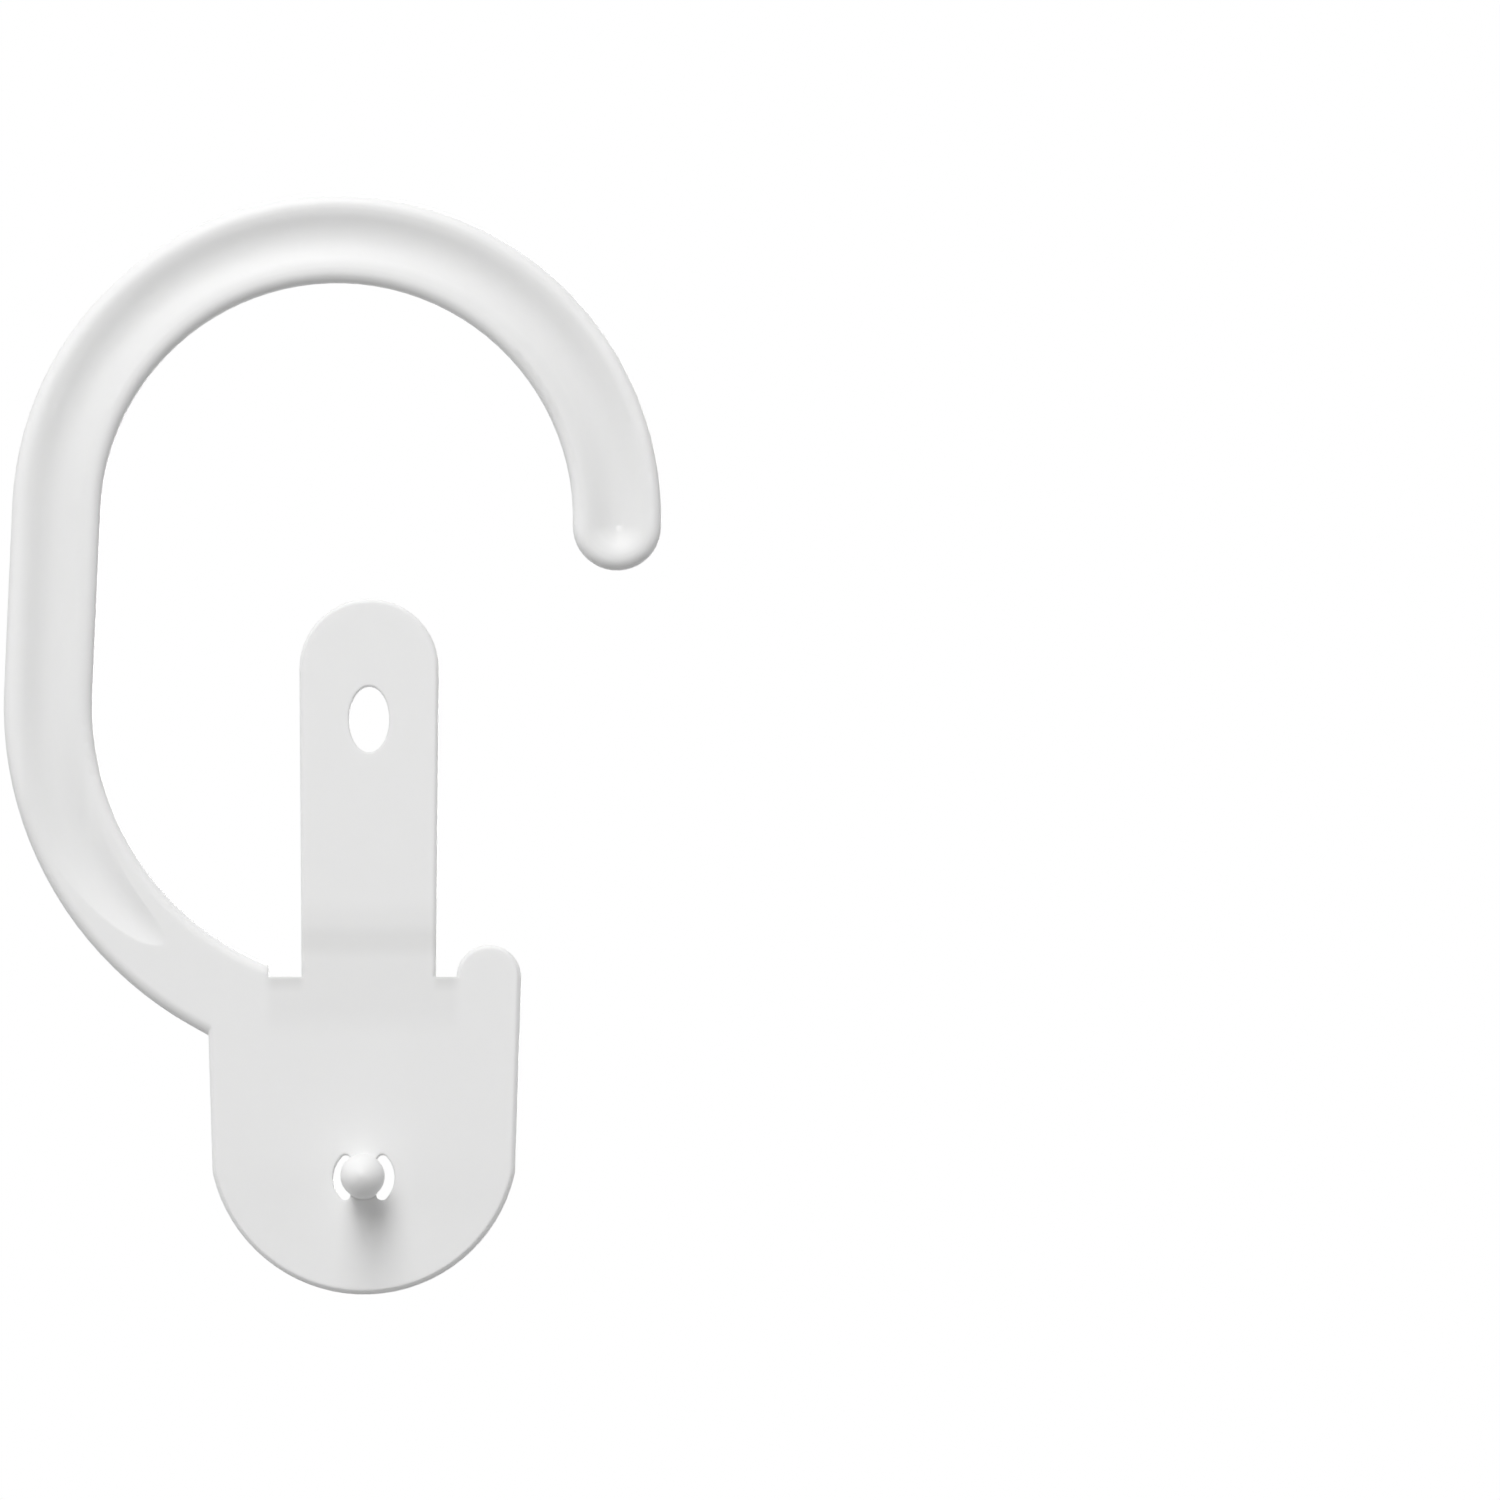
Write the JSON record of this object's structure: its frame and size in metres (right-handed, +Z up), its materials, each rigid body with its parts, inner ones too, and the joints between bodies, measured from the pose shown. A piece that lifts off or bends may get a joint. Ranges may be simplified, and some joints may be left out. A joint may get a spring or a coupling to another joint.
{
  "type": "plastic curtain hook",
  "caption": "White moulded plastic hook with a crook for a curtain rod and a plate whose strap folds over a snap peg to hold fabric.",
  "frame": {"origin": "middle of the rod that the crook hangs on, at the middle of the bar's thickness", "axes": "+Z up as it hangs, front with the snap peg towards -Y, crook open to +X"},
  "size_m": [0.048, 0.0085, 0.0803],
  "materials": {
    "white_plastic": "satin moulded polypropylene, slightly translucent where it is thin"
  },
  "bodies": {
    "root": {"curtain_hook": "white_plastic"}
  },
  "joints": []
}
